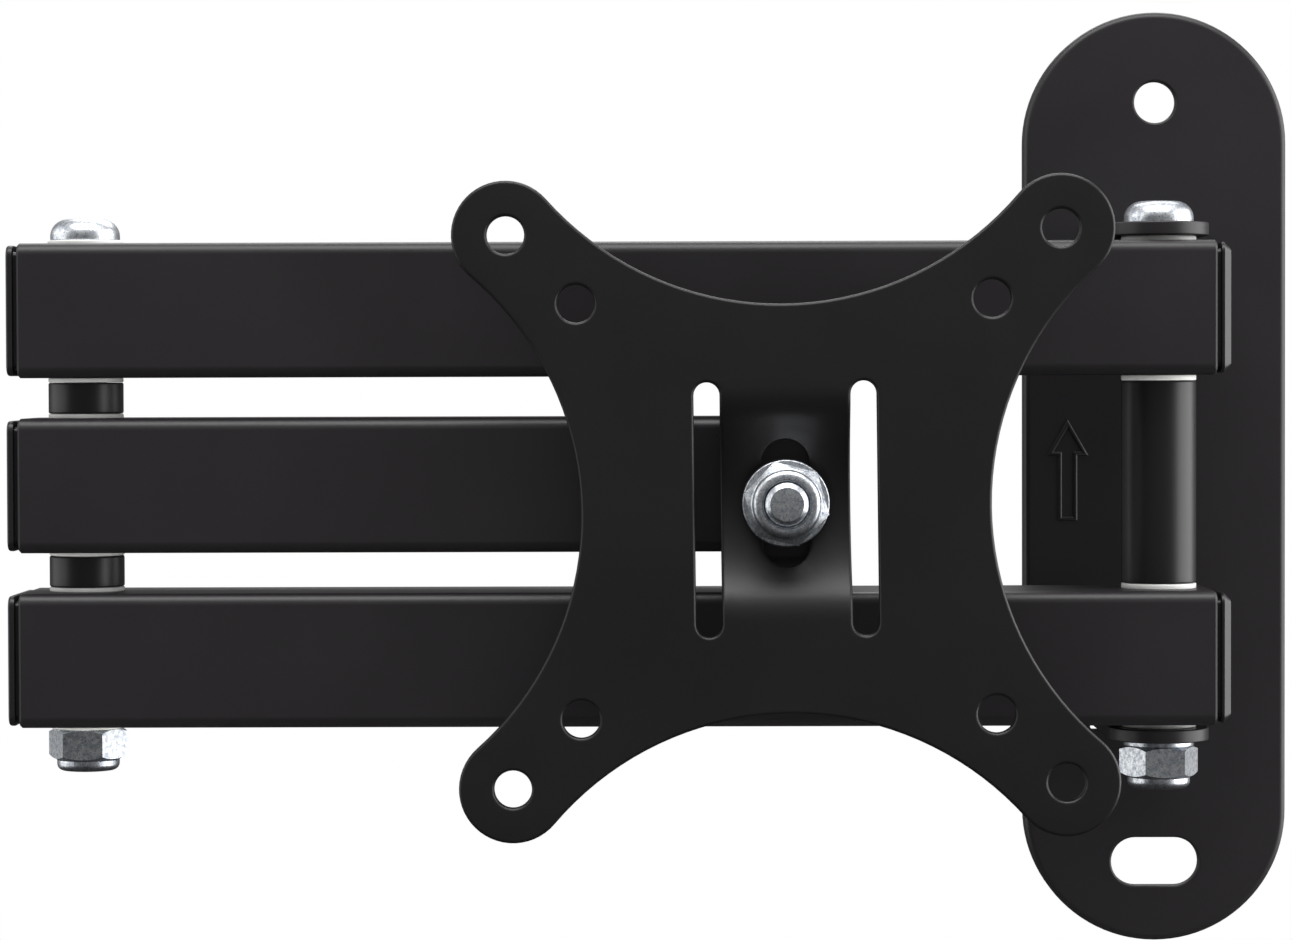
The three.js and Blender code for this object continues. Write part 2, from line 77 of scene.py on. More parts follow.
def addNode(tree, kind, settings=None, inputs=None):
    node = tree.nodes.new(kind)
    for name, value in (settings or {}).items():
        setattr(node, name, value)
    for socket, value in (inputs or {}).items():
        if isinstance(value, bpy.types.NodeSocket):
            tree.links.new(value, node.inputs[socket])
        else:
            node.inputs[socket].default_value = value
    return node


def newFinish(name):
    finish = bpy.data.materials.new(name)
    finish.use_nodes = True
    finish.node_tree.nodes.clear()
    return finish, finish.node_tree


def perMetre(grainMm):
    return 1 / (grainMm * millimetre)


def noiseOf(tree, place, scale, detail, **others):
    inputs = {"Vector": place, "Scale": scale, "Detail": detail, **others}
    return addNode(tree, "ShaderNodeTexNoise", inputs=inputs).outputs["Fac"]


def spreadOf(tree, value, low, high, start=0.0, end=1.0):
    # Brings a value that runs from start to end between low and high
    inputs = {"Value": value, "From Min": start, "From Max": end, "To Min": low, "To Max": high}
    return addNode(tree, "ShaderNodeMapRange", inputs=inputs).outputs[0]


def mixOf(tree, share, first, second):
    inputs = {0: share, 6: first, 7: second}
    return addNode(tree, "ShaderNodeMix", {"data_type": "RGBA"}, inputs).outputs[2]


def bumpOf(tree, height, distance, strength=1.0, **others):
    inputs = {"Height": height, "Distance": distance, "Strength": strength, **others}
    return addNode(tree, "ShaderNodeBump", inputs=inputs).outputs["Normal"]



powderSettings = {
    "tubeShades": ("#1c191c", "#242124"),       # satin black with a trace of warmth, and where it is thinner
    "shadedPlateShades": ("#110f10", "#161415"),      # painted shade: the screen plate's copy of the arms' coat is drawn darker
    "roughness": (0.36, 0.46),
    "peelMm": 1.1,              # orange peel, the slow ripple that powder leaves as it melts
    "grainMm": 0.22,            # fine grit in the coat, drawn a little coarse so that it shows
    "cloudMm": 26,
    "peelHeight": 0.000018,
    "grainHeight": 0.000004,
}


def makePowderCoat(name, shades):
    # Polyester powder coat baked on steel: gives the eye a soft sheen with a faint ripple
    s = powderSettings
    finish, tree = newFinish(name)
    place = addNode(tree, "ShaderNodeTexCoord").outputs["Object"]
    peel = noiseOf(tree, place, perMetre(s["peelMm"]), 2.0, Roughness=0.4)
    grain = noiseOf(tree, place, perMetre(s["grainMm"]), 1.0)
    cloud = noiseOf(tree, place, perMetre(s["cloudMm"]), 3.0)
    tint = mixOf(tree, cloud, linearColour(shades[0]), linearColour(shades[1]))
    gloss = spreadOf(tree, cloud, *s["roughness"])
    ripple = bumpOf(tree, peel, s["peelHeight"])
    grit = bumpOf(tree, grain, s["grainHeight"], Normal=ripple)
    paint = addNode(tree, "ShaderNodeBsdfPrincipled", inputs={"Base Color": tint,
                                                              "Roughness": gloss,
                                                              "IOR": 1.5,
                                                              "Normal": grit})
    addNode(tree, "ShaderNodeOutputMaterial", inputs={"Surface": paint.outputs["BSDF"]})
    return finish


plasticSettings = {
    "colour": "#1a191b",
    "roughness": (0.3, 0.4),
    "sparkMm": 0.35,            # spark eroded mould texture, drawn coarse enough to show
    "sparkHeight": 0.00001,
    "flowMm": 9,                # slow gloss changes where the melt met itself
}


def makeMouldedPlastic():
    # Injection moulded polypropylene: gives the eye a slightly waxy black with an even fine texture
    s = plasticSettings
    finish, tree = newFinish("mouldedBlackPolypropylene")
    place = addNode(tree, "ShaderNodeTexCoord").outputs["Object"]
    spark = noiseOf(tree, place, perMetre(s["sparkMm"]), 2.0, Roughness=0.6)
    flow = noiseOf(tree, place, perMetre(s["flowMm"]), 2.0)
    gloss = spreadOf(tree, flow, *s["roughness"])
    relief = bumpOf(tree, spark, s["sparkHeight"])
    plastic = addNode(tree, "ShaderNodeBsdfPrincipled", inputs={"Base Color": linearColour(s["colour"]),
                                                                "Roughness": gloss,
                                                                "IOR": 1.49,
                                                                "Normal": relief})
    addNode(tree, "ShaderNodeOutputMaterial", inputs={"Surface": plastic.outputs["BSDF"]})
    return finish


sleeveSettings = {
    "colour": "#161517",
    "roughness": 0.38,
    "drawMm": (0.25, 14),       # drawing lines run along the tube: narrow round it, long along it
    "drawHeight": 0.000004,
}


def makeSleevePaint():
    # Enamelled steel tube: gives the eye long clean highlights down a glossy black
    s = sleeveSettings
    finish, tree = newFinish("glossBlackEnamel")
    place = addNode(tree, "ShaderNodeTexCoord").outputs["Object"]
    across, along = [perMetre(size) for size in s["drawMm"]]
    stretch = addNode(tree, "ShaderNodeMapping", inputs={"Vector": place, "Scale": (across, across, along)})
    lines = noiseOf(tree, stretch.outputs["Vector"], 1.0, 2.0)
    relief = bumpOf(tree, lines, s["drawHeight"])
    enamel = addNode(tree, "ShaderNodeBsdfPrincipled", inputs={"Base Color": linearColour(s["colour"]),
                                                               "Roughness": s["roughness"],
                                                               "IOR": 1.5,
                                                               "Normal": relief})
    addNode(tree, "ShaderNodeOutputMaterial", inputs={"Surface": enamel.outputs["BSDF"]})
    return finish


nylonSettings = {
    "colour": "#fbfbf8",
    "shade": "#f2f2ee",
    "roughness": 0.42,
    "mottleMm": 1.6,            # faint cloudiness of unfilled nylon
    "depth": 0.0008,            # how far light goes into it
}


def makeNylon():
    # Natural nylon 6, moulded: gives the eye a milky white that glows a little at thin edges
    s = nylonSettings
    finish, tree = newFinish("naturalWhiteNylon")
    place = addNode(tree, "ShaderNodeTexCoord").outputs["Object"]
    mottle = noiseOf(tree, place, perMetre(s["mottleMm"]), 2.0)
    tint = mixOf(tree, mottle, linearColour(s["colour"]), linearColour(s["shade"]))
    nylon = addNode(tree, "ShaderNodeBsdfPrincipled", inputs={"Base Color": tint,
                                                              "Roughness": s["roughness"],
                                                              "IOR": 1.53,
                                                              "Subsurface Weight": 0.25,
                                                              "Subsurface Radius": (1.0, 0.9, 0.8),
                                                              "Subsurface Scale": s["depth"]})
    addNode(tree, "ShaderNodeOutputMaterial", inputs={"Surface": nylon.outputs["BSDF"]})
    return finish


zincSettings = {
    "colour": "#eef1f4",        # blue passivated zinc
    "shade": "#b3bac4",
    "speckle": "#636b78",
    "roughness": (0.26, 0.44),
    "spangleMm": 0.9,           # cloudy patches of the plating
    "spangleRange": (0.4, 0.65),
    "speckMm": 0.28,            # the fine pitted sparkle of barrel plated steel, drawn coarse enough to show
    "speckRange": (0.56, 0.72),
    "speckHeight": 0.00003,
    "speckStrength": 0.6,
}


def makeZinc():
    # Barrel plated zinc on steel: gives the eye a bright bluish metal with a restless fine sparkle
    s = zincSettings
    finish, tree = newFinish("bluePassivatedZinc")
    place = addNode(tree, "ShaderNodeTexCoord").outputs["Object"]
    spangle = noiseOf(tree, place, perMetre(s["spangleMm"]), 3.0, Roughness=0.6)
    speck = noiseOf(tree, place, perMetre(s["speckMm"]), 2.0, Roughness=0.6)
    cloud = spreadOf(tree, spangle, 0.0, 1.0, *s["spangleRange"])
    pit = spreadOf(tree, speck, 0.0, 1.0, *s["speckRange"])
    patchy = mixOf(tree, cloud, linearColour(s["colour"]), linearColour(s["shade"]))
    speckled = mixOf(tree, pit, patchy, linearColour(s["speckle"]))
    gloss = spreadOf(tree, spangle, *s["roughness"])
    relief = bumpOf(tree, speck, s["speckHeight"], s["speckStrength"])
    zinc = addNode(tree, "ShaderNodeBsdfPrincipled", inputs={"Base Color": speckled,
                                                             "Metallic": 1.0,
                                                             "Roughness": gloss,
                                                             "Normal": relief})
    addNode(tree, "ShaderNodeOutputMaterial", inputs={"Surface": zinc.outputs["BSDF"]})
    return finish


powderCoat = makePowderCoat("satinBlackPowderCoat", powderSettings["tubeShades"])
# The screen plate gets the same coat drawn darker, as painted shade
shadedPlateCoat = makePowderCoat("shadedBlackPowderCoat", powderSettings["shadedPlateShades"])
mouldedPlastic = makeMouldedPlastic()
sleevePaint = makeSleevePaint()
nylon = makeNylon()
zinc = makeZinc()
print("finishes made")


# Shaping: outlines are lists of points in millimetres

def filleted(corners, closed=False, steps=4):
    # Each corner is (x, y, radius), and a corner with no radius stays sharp
    rounded = []
    count = len(corners)
    for i, (x, y, radius) in enumerate(corners):
        here = Vector((x, y))
        if radius == 0 or (not closed and i in (0, count - 1)):
            rounded.append((x, y))
            continue
        before = (Vector(corners[i - 1][:2]) - here).normalized()
        after = (Vector(corners[(i + 1) % count][:2]) - here).normalized()
        half = before.angle(after) / 2
        middle = here + (before + after).normalized() * (radius / math.sin(half))
        start = here + before * (radius / math.tan(half)) - middle
        end = here + after * (radius / math.tan(half)) - middle
        sweep = start.angle_signed(end)
        for k in range(steps + 1):
            turned = Matrix.Rotation(-sweep * k / steps, 2) @ start
            rounded.append(tuple(middle + turned))
    return rounded


def circle(radius, height, steps=72):
    return [(radius * math.cos(fullTurn * k / steps), radius * math.sin(fullTurn * k / steps), height)
            for k in range(steps)]


def quarterTurn(steps):
    # The angles that take a rounded edge round its corner
    return [math.pi / 2 * k / steps for k in range(steps + 1)]


def hexReach(flats, angle):
    # How far a hexagon reaches at an angle, with a corner at angle 0
    return flats / 2 / math.cos(angle % (math.pi / 3) - math.pi / 6)


def hexagon(flats, height, steps=72, grow=0.0):
    angles = [fullTurn * k / steps for k in range(steps)]
    return [((hexReach(flats, a) + grow) * math.cos(a), (hexReach(flats, a) + grow) * math.sin(a), height)
            for a in angles]


def loft(loops, ring=False):
    # A skin through loops of equal count, closed by end faces or, for a ring, on itself
    count = len(loops[0])
    points = [point for loop in loops for point in loop]
    faces = []
    for i in range(len(loops) if ring else len(loops) - 1):
        j = (i + 1) % len(loops)
        for k in range(count):
            n = (k + 1) % count
            faces.append((i * count + k, i * count + n, j * count + n, j * count + k))
    if not ring:
        faces.append(tuple(reversed(range(count))))
        faces.append(tuple(range((len(loops) - 1) * count, len(loops) * count)))
    return points, faces


def ringOf(corners, steps=72):
    # A turned ring from a closed (radius, height, fillet) section
    return loft([circle(r, z, steps) for r, z in filleted(corners, closed=True)], ring=True)


def makePiece(name, body, shape, finish, place=(0, 0, 0), turn=None, crease=32):
    points, faces = shape
    spot = Matrix.Translation(place) @ (turn or Matrix.Identity(4)) @ Matrix.Scale(millimetre, 4)
    mesh = bpy.data.meshes.new(name)
    mesh.from_pydata([spot @ Vector(p) for p in points], [], faces)
    form = bmesh.new()
    form.from_mesh(mesh)
    bmesh.ops.remove_doubles(form, verts=form.verts, dist=1e-7)
    bmesh.ops.recalc_face_normals(form, faces=form.faces)
    for face in form.faces:
        face.smooth = True
    for edge in form.edges:
        if len(edge.link_faces) == 2 and edge.calc_face_angle() > math.radians(crease):
            edge.smooth = False
    form.to_mesh(mesh)
    form.free()
    mesh.materials.append(finish)
    piece = bpy.data.objects.new(name, mesh)
    bpy.context.scene.collection.objects.link(piece)
    shading = piece.modifiers.new("evenShading", "WEIGHTED_NORMAL")
    shading.keep_sharp = True
    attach(piece, body)
    return piece


def standFor(node, shape, finish, place=(0, 0, 0), turn=None, crease=32):
    # A finished piece in the place of a plain CAD node
    piece = makePiece(node + "_finished", bodyOf[node], shape, finish, place, turn, crease)
    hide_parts(node)
    return piece


def middleOf(node):
    low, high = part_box(node)
    return (Vector(low) + Vector(high)) / 2


def sizeOf(node):
    low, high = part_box(node)
    return (Vector(high) - Vector(low)) / millimetre


# Sheet metal: outlines with rounded edges, filled flat and then bent

def arcPoints(x, y, radius, start, end, steps):
    return [(x + radius * math.cos(start + (end - start) * k / steps),
             y + radius * math.sin(start + (end - start) * k / steps)) for k in range(steps + 1)]


def denser(loop, longest):
    points = []
    for i, here in enumerate(loop):
        there = loop[(i + 1) % len(loop)]
        parts = max(1, math.ceil(math.dist(here, there) / longest))
        points += [(here[0] + (there[0] - here[0]) * k / parts, here[1] + (there[1] - here[1]) * k / parts)
                   for k in range(parts)]
    return points


def cleaned(loop):
    return [p for i, p in enumerate(loop) if math.dist(p, loop[i - 1]) > 1e-5]


def signedArea(loop):
    return sum(loop[i - 1][0] * p[1] - p[0] * loop[i - 1][1] for i, p in enumerate(loop)) / 2


def outlineOf(loop, longest=3.0):
    loop = denser(cleaned(loop), longest)
    return loop if signedArea(loop) > 0 else loop[::-1]


def holeOf(loop, longest=3.0):
    return outlineOf(loop, longest)[::-1]


def insetLoop(loop, inset):
    # The sheet lies to the left of every loop, so a positive inset moves into it
    moved = []
    for i, here in enumerate(loop):
        into = (Vector(here) - Vector(loop[i - 1])).normalized()
        out = (Vector(loop[(i + 1) % len(loop)]) - Vector(here)).normalized()
        side = Vector((-into.y, into.x))
        other = Vector((-out.y, out.x))
        mitre = (side + other).normalized()
        reach = inset / max(0.5, mitre.dot(side))
        moved.append((here[0] + mitre.x * reach, here[1] + mitre.y * reach))
    return moved


def punchedEdge(front, back, roundFront, roundBack, steps=3):
    # (inset, level) points of a cut edge, from the front face to the back face
    turns = quarterTurn(steps)
    profile = [(roundFront * (1 - math.sin(a)), front - roundFront * (1 - math.cos(a))) for a in turns]
    profile += [(roundBack * (1 - math.cos(a)), back + roundBack * (1 - math.sin(a))) for a in turns]
    return profile


def inside(x, y, loops):
    crossings = 0
    for loop in loops:
        for i, (x1, y1) in enumerate(loop):
            x0, y0 = loop[i - 1]
            if (y0 > y) != (y1 > y) and x < x0 + (y - y0) * (x1 - x0) / (y1 - y0):
                crossings += 1
    return crossings % 2 == 1


def fillFace(loops, starts, rows, points, level, bend):
    # Triangles between the loops, with the rows as extra lines for a bend to follow
    coords, known, lines = [], [], []
    for loop, start in zip(loops, starts):
        first = len(coords)
        coords += loop
        known += range(start, start + len(loop))
        lines += [(first + k, first + (k + 1) % len(loop)) for k in range(len(loop))]
    for row in rows:
        first = len(coords)
        coords += row
        known += range(len(points), len(points) + len(row))
        points += [bend(u, v, level) for u, v in row]
        lines += [(first + k, first + k + 1) for k in range(len(row) - 1)]
    found = delaunay_2d_cdt([Vector(c) for c in coords], lines, [], 0, 1e-7)
    spots, triangles, origins = found[0], found[2], found[3]
    index = []
    for spot, origin in zip(spots, origins):
        if origin:
            index.append(known[origin[0]])
        else:
            index.append(len(points))
            points.append(bend(spot.x, spot.y, level))
    faces = []
    for a, b, c in triangles:
        x = (spots[a].x + spots[b].x + spots[c].x) / 3
        y = (spots[a].y + spots[b].y + spots[c].y) / 3
        if inside(x, y, loops):
            faces.append((index[a], index[b], index[c]))
    return faces


def pressedSheet(edges, bend, rows=()):
    # edges are (loop, profile) pairs, and bend turns (across, along, level) into a place
    points, faces, fronts, backs = [], [], [], []
    for loop, profile in edges:
        count = len(loop)
        rings = [insetLoop(loop, inset) for inset, level in profile]
        starts = []
        for ring, (inset, level) in zip(rings, profile):
            starts.append(len(points))
            points += [bend(u, v, level) for u, v in ring]
        for a, b in zip(starts, starts[1:]):
            faces += [(a + k, a + (k + 1) % count, b + (k + 1) % count, b + k) for k in range(count)]
        fronts.append((rings[0], starts[0], profile[0][1]))
        backs.append((rings[-1], starts[-1], profile[-1][1]))
    for side in (fronts, backs):
        loops, starts, levels = zip(*side)
        faces += fillFace(loops, starts, rows, points, levels[0], bend)
    return points, faces


def stadiumLoop(length, width, x=0.0, y=0.0, upright=False, steps=16):
    radius = width / 2
    run = length / 2 - radius
    if upright:
        loop = arcPoints(x, y + run, radius, 0, math.pi, steps)
        return loop + arcPoints(x, y - run, radius, math.pi, fullTurn, steps)
    loop = arcPoints(x - run, y, radius, math.pi / 2, 3 * math.pi / 2, steps)
    return loop + arcPoints(x + run, y, radius, -math.pi / 2, math.pi / 2, steps)


def roundLoop(radius, x, y, steps=40):
    return arcPoints(x, y, radius, 0, fullTurn, steps)[:-1]


def roundedSquareLoop(size, corner, steps=6):
    c = size / 2 - corner
    spots = [(c, c, 0), (-c, c, 1), (-c, -c, 2), (c, -c, 3)]
    quarter = math.pi / 2
    return [p for x, y, k in spots for p in arcPoints(x, y, corner, k * quarter, (k + 1) * quarter, steps)]


# Screen plate

screenPlate = {
    "sheet": 2.0,
    "squares": (100, 75),
    "holeRadius": 3.4,
    "lobeRadius": 9.8,
    "waist": 37,
    "slotX": 14.15,
    "slotWidth": 4.7,
    "slotLength": 46,
    "tiltSlot": (23.5, 8.2),
    "bowRadius": 28.6,
    "bowDepth": 6.5,
    "bowBend": 8,
    "bowRise": 0.95,
    "outOfLevel": 0.6,          # degrees that the right side hangs high
    "frontEdge": 0.6,           # the punch draws the front edge round
    "backEdge": 0.15,
    "bendRows": 23,             # lines across the strip, 1 mm apart above and below the middle
    "rowMargin": 1.0,           # how far they stay from the slots
}


def bowAt(height):
    # How far the middle strip lies behind the plate, by the height above its middle
    s = screenPlate
    deep, curve, bend = s["bowDepth"], s["bowRadius"], s["bowBend"]
    bendHeight = math.sqrt(deep * (2 * curve - deep + 2 * bend))
    touch = curve * bendHeight / (curve + bend)
    height = abs(height)
    if height >= bendHeight:
        return 0.0
    if height >= touch:
        return bend - math.sqrt(bend ** 2 - (bendHeight - height) ** 2)
    return deep - curve + math.sqrt(curve ** 2 - height ** 2)


def screenPlateShape():
    s = screenPlate
    half = s["squares"][0] / 2
    lean = half - s["waist"]
    sideRadius = (lean ** 2 + half ** 2 - s["lobeRadius"] ** 2) / (2 * (s["lobeRadius"] + lean))
    sideCentre = s["waist"] + sideRadius
    spread = math.atan2(half, sideCentre - half)
    swing = math.pi / 4 + spread
    outline = []
    for corner in range(4):
        diagonal = fullTurn * (corner + 0.5) / 4
        facing = fullTurn * (corner + 1) / 4
        reach = half * math.sqrt(2)
        outline += arcPoints(reach * math.cos(diagonal), reach * math.sin(diagonal), s["lobeRadius"],
                             diagonal - swing, diagonal + swing, 28)
        inward = facing + math.pi
        outline += arcPoints(sideCentre * math.cos(facing), sideCentre * math.sin(facing), sideRadius,
                             inward + spread, inward - spread, 36)
    cut = punchedEdge(s["sheet"] / 2, -s["sheet"] / 2, s["frontEdge"], s["backEdge"])
    edges = [(outlineOf(outline), cut)]
    for square in s["squares"]:
        for x, y in ((-1, -1), (1, -1), (1, 1), (-1, 1)):
            edges.append((holeOf(roundLoop(s["holeRadius"], x * square / 2, y * square / 2)), cut))
    for side in (-1, 1):
        slot = stadiumLoop(s["slotLength"], s["slotWidth"], side * s["slotX"], 0, upright=True, steps=14)
        edges.append((holeOf(slot, 0.8), cut))
    edges.append((holeOf(stadiumLoop(*s["tiltSlot"], 0, s["bowRise"], upright=True), 0.8), cut))

    def bend(across, up, level):
        if abs(across) > s["slotX"]:
            return (across, -level, up)
        step = 0.01
        height = up - s["bowRise"]
        slope = (bowAt(height + step) - bowAt(height - step)) / (2 * step)
        tilt = math.sqrt(1 + slope ** 2)
        return (across, bowAt(height) - level / tilt, up + slope * level / tilt)

    slotLength, slotWidth = s["tiltSlot"]
    stripHalf = s["slotX"] - s["slotWidth"] / 2 - s["rowMargin"]
    slotHalf = slotWidth / 2 + s["rowMargin"]
    rows = []
    for k in range(-s["bendRows"], s["bendRows"] + 1):
        if abs(k - s["bowRise"]) < slotLength / 2 + 1.5 * s["rowMargin"]:
            spans = ((-stripHalf, -slotHalf), (slotHalf, stripHalf))
        else:
            spans = ((-stripHalf, stripHalf),)
        for low, high in spans:
            parts = max(2, round((high - low) / 2))
            rows.append([(low + (high - low) * i / parts, k) for i in range(parts + 1)])
    return pressedSheet(edges, bend, rows)


# The plate's own middle: half way across, and half a sheet behind its front face
plateLow, plateHigh = [Vector(corner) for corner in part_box("vesa_plate")]
plateMiddle = (plateLow + plateHigh) / 2
plateMiddle.y = plateLow.y + screenPlate["sheet"] / 2 * millimetre
levelTurn = Matrix.Rotation(-math.radians(screenPlate["outOfLevel"]), 4, "Y")
# The screen plate wears the darker copy of the coat, which paints shade on it
standFor("vesa_plate", screenPlateShape(), shadedPlateCoat, plateMiddle, levelTurn)
print("screen plate made")


# Wall bracket

wallPlate = {
    "size": (51, 181),
    "depth": 5.0,
    "sheet": 2.5,
    "edge": 1.3,                # the press draws the front edge round
    "footEdge": 0.4,            # the pan's rim where it meets the wall
    "insideEdge": 0.8,          # the pan's inner corner
    "topHole": (4.0, 73),       # radius and height
    "slot": (17, 9.4, -75),     # length, width and height
    "earSlot": (19.9, 3.7, 47.3),
    "earCorner": 0.6,
    "holeEdge": 0.5,
    "cutEdge": 0.2,             # edges that are cut and not drawn
    "arrowX": -17,
    "arrow": (-8, 4.7, 10.6),   # foot, neck and tip
    "offset": 2.65,             # the pivot sits this far left of the plate's middle
    "arrowHalf": (1.5, 3.4),    # shaft and head
    "lineHalf": 0.42,
    "lineHeight": 0.3,
    "lineSink": 0.04,           # how far the bead's edge lies below the face
    "lineKeel": 0.2,            # and its hidden underside
}


def arrowRidge():
    # The pressed outline arrow, as a low rounded bead that stands on the plate
    s = wallPlate
    foot, neck, tip = s["arrow"]
    shaft, head = s["arrowHalf"]
    path = [(shaft, foot), (shaft, neck), (head, neck), (0, tip),
            (-head, neck), (-shaft, neck), (-shaft, foot)]
    path = [(x + s["arrowX"], y) for x, y in path]
    face = s["depth"]
    bottom = face - s["lineSink"]
    section = []
    for k in range(9):
        angle = math.pi * k / 8
        section.append((-s["lineHalf"] * math.cos(angle),
                        bottom + (s["lineHeight"] + s["lineSink"]) * math.sin(angle)))
    section.append((0, face - s["lineKeel"]))
    loops = []
    for inset, level in section:
        loops.append([(x, -level, z) for x, z in insetLoop(path, inset)])
    return loft(loops, ring=True)


def wallPlateShape():
    s = wallPlate
    width, height = s["size"]
    sheet, edge, foot, fillet = s["sheet"], s["edge"], s["footEdge"], s["insideEdge"]
    front = s["depth"]
    back = front - sheet
    fine = quarterTurn(5)
    coarse = fine[::2] + [fine[-1]]
    # (inset, level) round the pan's rim: over the front, round the foot and up the inside
    rim = [(edge * (1 - math.sin(a)), front - edge * (1 - math.cos(a))) for a in fine]
    rim += [(foot * (1 - math.cos(a)), foot * (1 - math.sin(a))) for a in coarse]
    rim += [(sheet - foot * (1 - math.sin(a)), foot * (1 - math.cos(a))) for a in coarse]
    rim += [(sheet + fillet * (1 - math.cos(a)), back - fillet * (1 - math.sin(a))) for a in fine]
    holeCut = punchedEdge(front, back, s["holeEdge"], s["cutEdge"])
    earCut = punchedEdge(front, back, s["cutEdge"], s["cutEdge"])
    holeRadius, holeUp = s["topHole"]
    slotLength, slotHeight, slotUp = s["slot"]
    edges = [(outlineOf(stadiumLoop(height, width, upright=True, steps=48)), rim)]
    edges.append((holeOf(roundLoop(holeRadius, 0, holeUp, 48)), holeCut))
    edges.append((holeOf(stadiumLoop(slotLength, slotHeight, 0, slotUp, steps=20)), holeCut))
    earWidth, earHeight, earUp = s["earSlot"]
    left, right = -earWidth / 2 - s["offset"], earWidth / 2 - s["offset"]
    for side in (-1, 1):
        low, high = side * earUp - earHeight / 2, side * earUp + earHeight / 2
        corners = [(x, y, s["earCorner"])
                   for x, y in ((left, low), (right, low), (right, high), (left, high))]
        edges.append((holeOf(filleted(corners, closed=True)), earCut))
    points, faces = pressedSheet(edges, lambda across, up, level: (across, -level, up))
    morePoints, moreFaces = arrowRidge()
    offset = len(points)
    return points + morePoints, faces + [tuple(offset + i for i in face) for face in moreFaces]


standFor("wall_plate", wallPlateShape(), powderCoat, (wallPlate["offset"] * millimetre, 0, 0))


def channelShape(inside, reach, width, sheet, bendRadius, holes, edge=0.3):
    # A flat blank with round ends, bent twice into a channel.
    # Levels are measured outwards from the middle of the sheet, and 'reach' is from web to ear tip.
    middle = bendRadius - sheet / 2
    outer = inside + sheet
    straight = reach - bendRadius
    web = 2 * (outer - bendRadius)
    arc = middle * math.pi / 2
    half = web / 2 + arc + straight

    def bend(across, along, level):
        side = 1 if along >= 0 else -1
        run = abs(along)
        if run <= web / 2:
            return (across, -level - middle, side * run)
        if run <= web / 2 + arc:
            angle = (run - web / 2) / middle
            reachOut = middle + level
            return (across, -reachOut * math.cos(angle), side * (web / 2 + reachOut * math.sin(angle)))
        return (across, run - web / 2 - arc, side * (web / 2 + middle + level))

    cut = punchedEdge(sheet / 2, -sheet / 2, edge, edge)
    edges = [(outlineOf(stadiumLoop(2 * half, width, upright=True, steps=36), 0.9), cut)]
    for radius, along in holes(half, width):
        edges.append((holeOf(roundLoop(radius, 0, along, 48)), cut))
    rows = []
    margin = width / 2 - edge - 0.7     # the bend's lines stop short of the sheet's edge
    for side in (-1, 1):
        for k in range(9):
            along = side * (web / 2 + arc * k / 8)
            rows.append([(-margin + 2 * margin * i / 8, along) for i in range(9)])
    return pressedSheet(edges, bend, rows), middle


bracket = {"sheet": 2.5, "bend": 3.0, "boreRadius": 4.25}
bracketSize = sizeOf("pivot_bracket")
bracketShape, bracketMiddle = channelShape(
    bracketSize.z / 2 - bracket["sheet"], bracketSize.y, bracketSize.x, bracket["sheet"], bracket["bend"],
    lambda half, width: [(bracket["boreRadius"], side * (half - width / 2)) for side in (-1, 1)])
# The channel opens to the front, with the outside of its web on the wall
bracketTurn = Matrix.Rotation(math.pi, 4, "Z")
bracketPlace = (0, -(bracketMiddle + bracket["sheet"] / 2) * millimetre, 0)
standFor("pivot_bracket", bracketShape, powderCoat, bracketPlace, bracketTurn)
print("wall bracket made")


# Clevis of the head

clevis = {"sheet": 2.5, "bend": 3.2, "boreRadius": 4.25, "tiltBoreRadius": 5.6}
clevisLow = Vector(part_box("head_clevis")[0])
clevisSize = sizeOf("head_clevis")
tiltDrop = jointAt["screen_tilt"].z / millimetre
clevisShape, clevisMiddle = channelShape(
    clevisSize.z / 2 - clevis["sheet"], clevisSize.y, clevisSize.x, clevis["sheet"], clevis["bend"],
    lambda half, width: [(clevis["boreRadius"], side * (half - width / 2)) for side in (-1, 1)]
    + [(clevis["tiltBoreRadius"], tiltDrop)])
clevisPlace = middleOf("head_clevis")
clevisPlace.y = clevisLow.y + (clevisMiddle + clevis["sheet"] / 2) * millimetre
standFor("head_clevis", clevisShape, powderCoat, clevisPlace)
print("clevis made")


# Arms

tube = {"size": 25, "wall": 1.5, "corner": 2.2, "ease": 0.4, "bore": 5.75}


def drill(piece, cutters):
    # Cuts the pivot holes through both walls of a tube, then smooths it as makePiece does
    for cutter in cutters:
        hole = piece.modifiers.new("hole", "BOOLEAN")
        hole.operation = "DIFFERENCE"
        hole.solver = "EXACT"
        hole.object = cutter
    view = bpy.context.evaluated_depsgraph_get()
    cut = bpy.data.meshes.new_from_object(piece.evaluated_get(view))
    piece.modifiers.clear()
    plain, piece.data = piece.data, cut
    bpy.data.meshes.remove(plain)
    for cutter in cutters:
        bpy.data.objects.remove(cutter)
    for face in piece.data.polygons:
        face.use_smooth = True
    shading = piece.modifiers.new("evenShading", "WEIGHTED_NORMAL")
    shading.keep_sharp = True


def tubeShape(length):
    size, corner, wall, ease = tube["size"], tube["corner"], tube["wall"], tube["ease"]
    outer = roundedSquareLoop(size, corner, 8)
    inner = roundedSquareLoop(size - 2 * wall, corner - wall, 8)
    eased = roundedSquareLoop(size - 2 * ease, corner - ease, 8)
    half = length / 2
    stations = [(eased, -half), (outer, ease - half), (outer, half - ease), (eased, half), (inner, half),
                (inner, -half)]
    return loft([[(x, y, z) for y, z in loop] for loop, x in stations], ring=True)


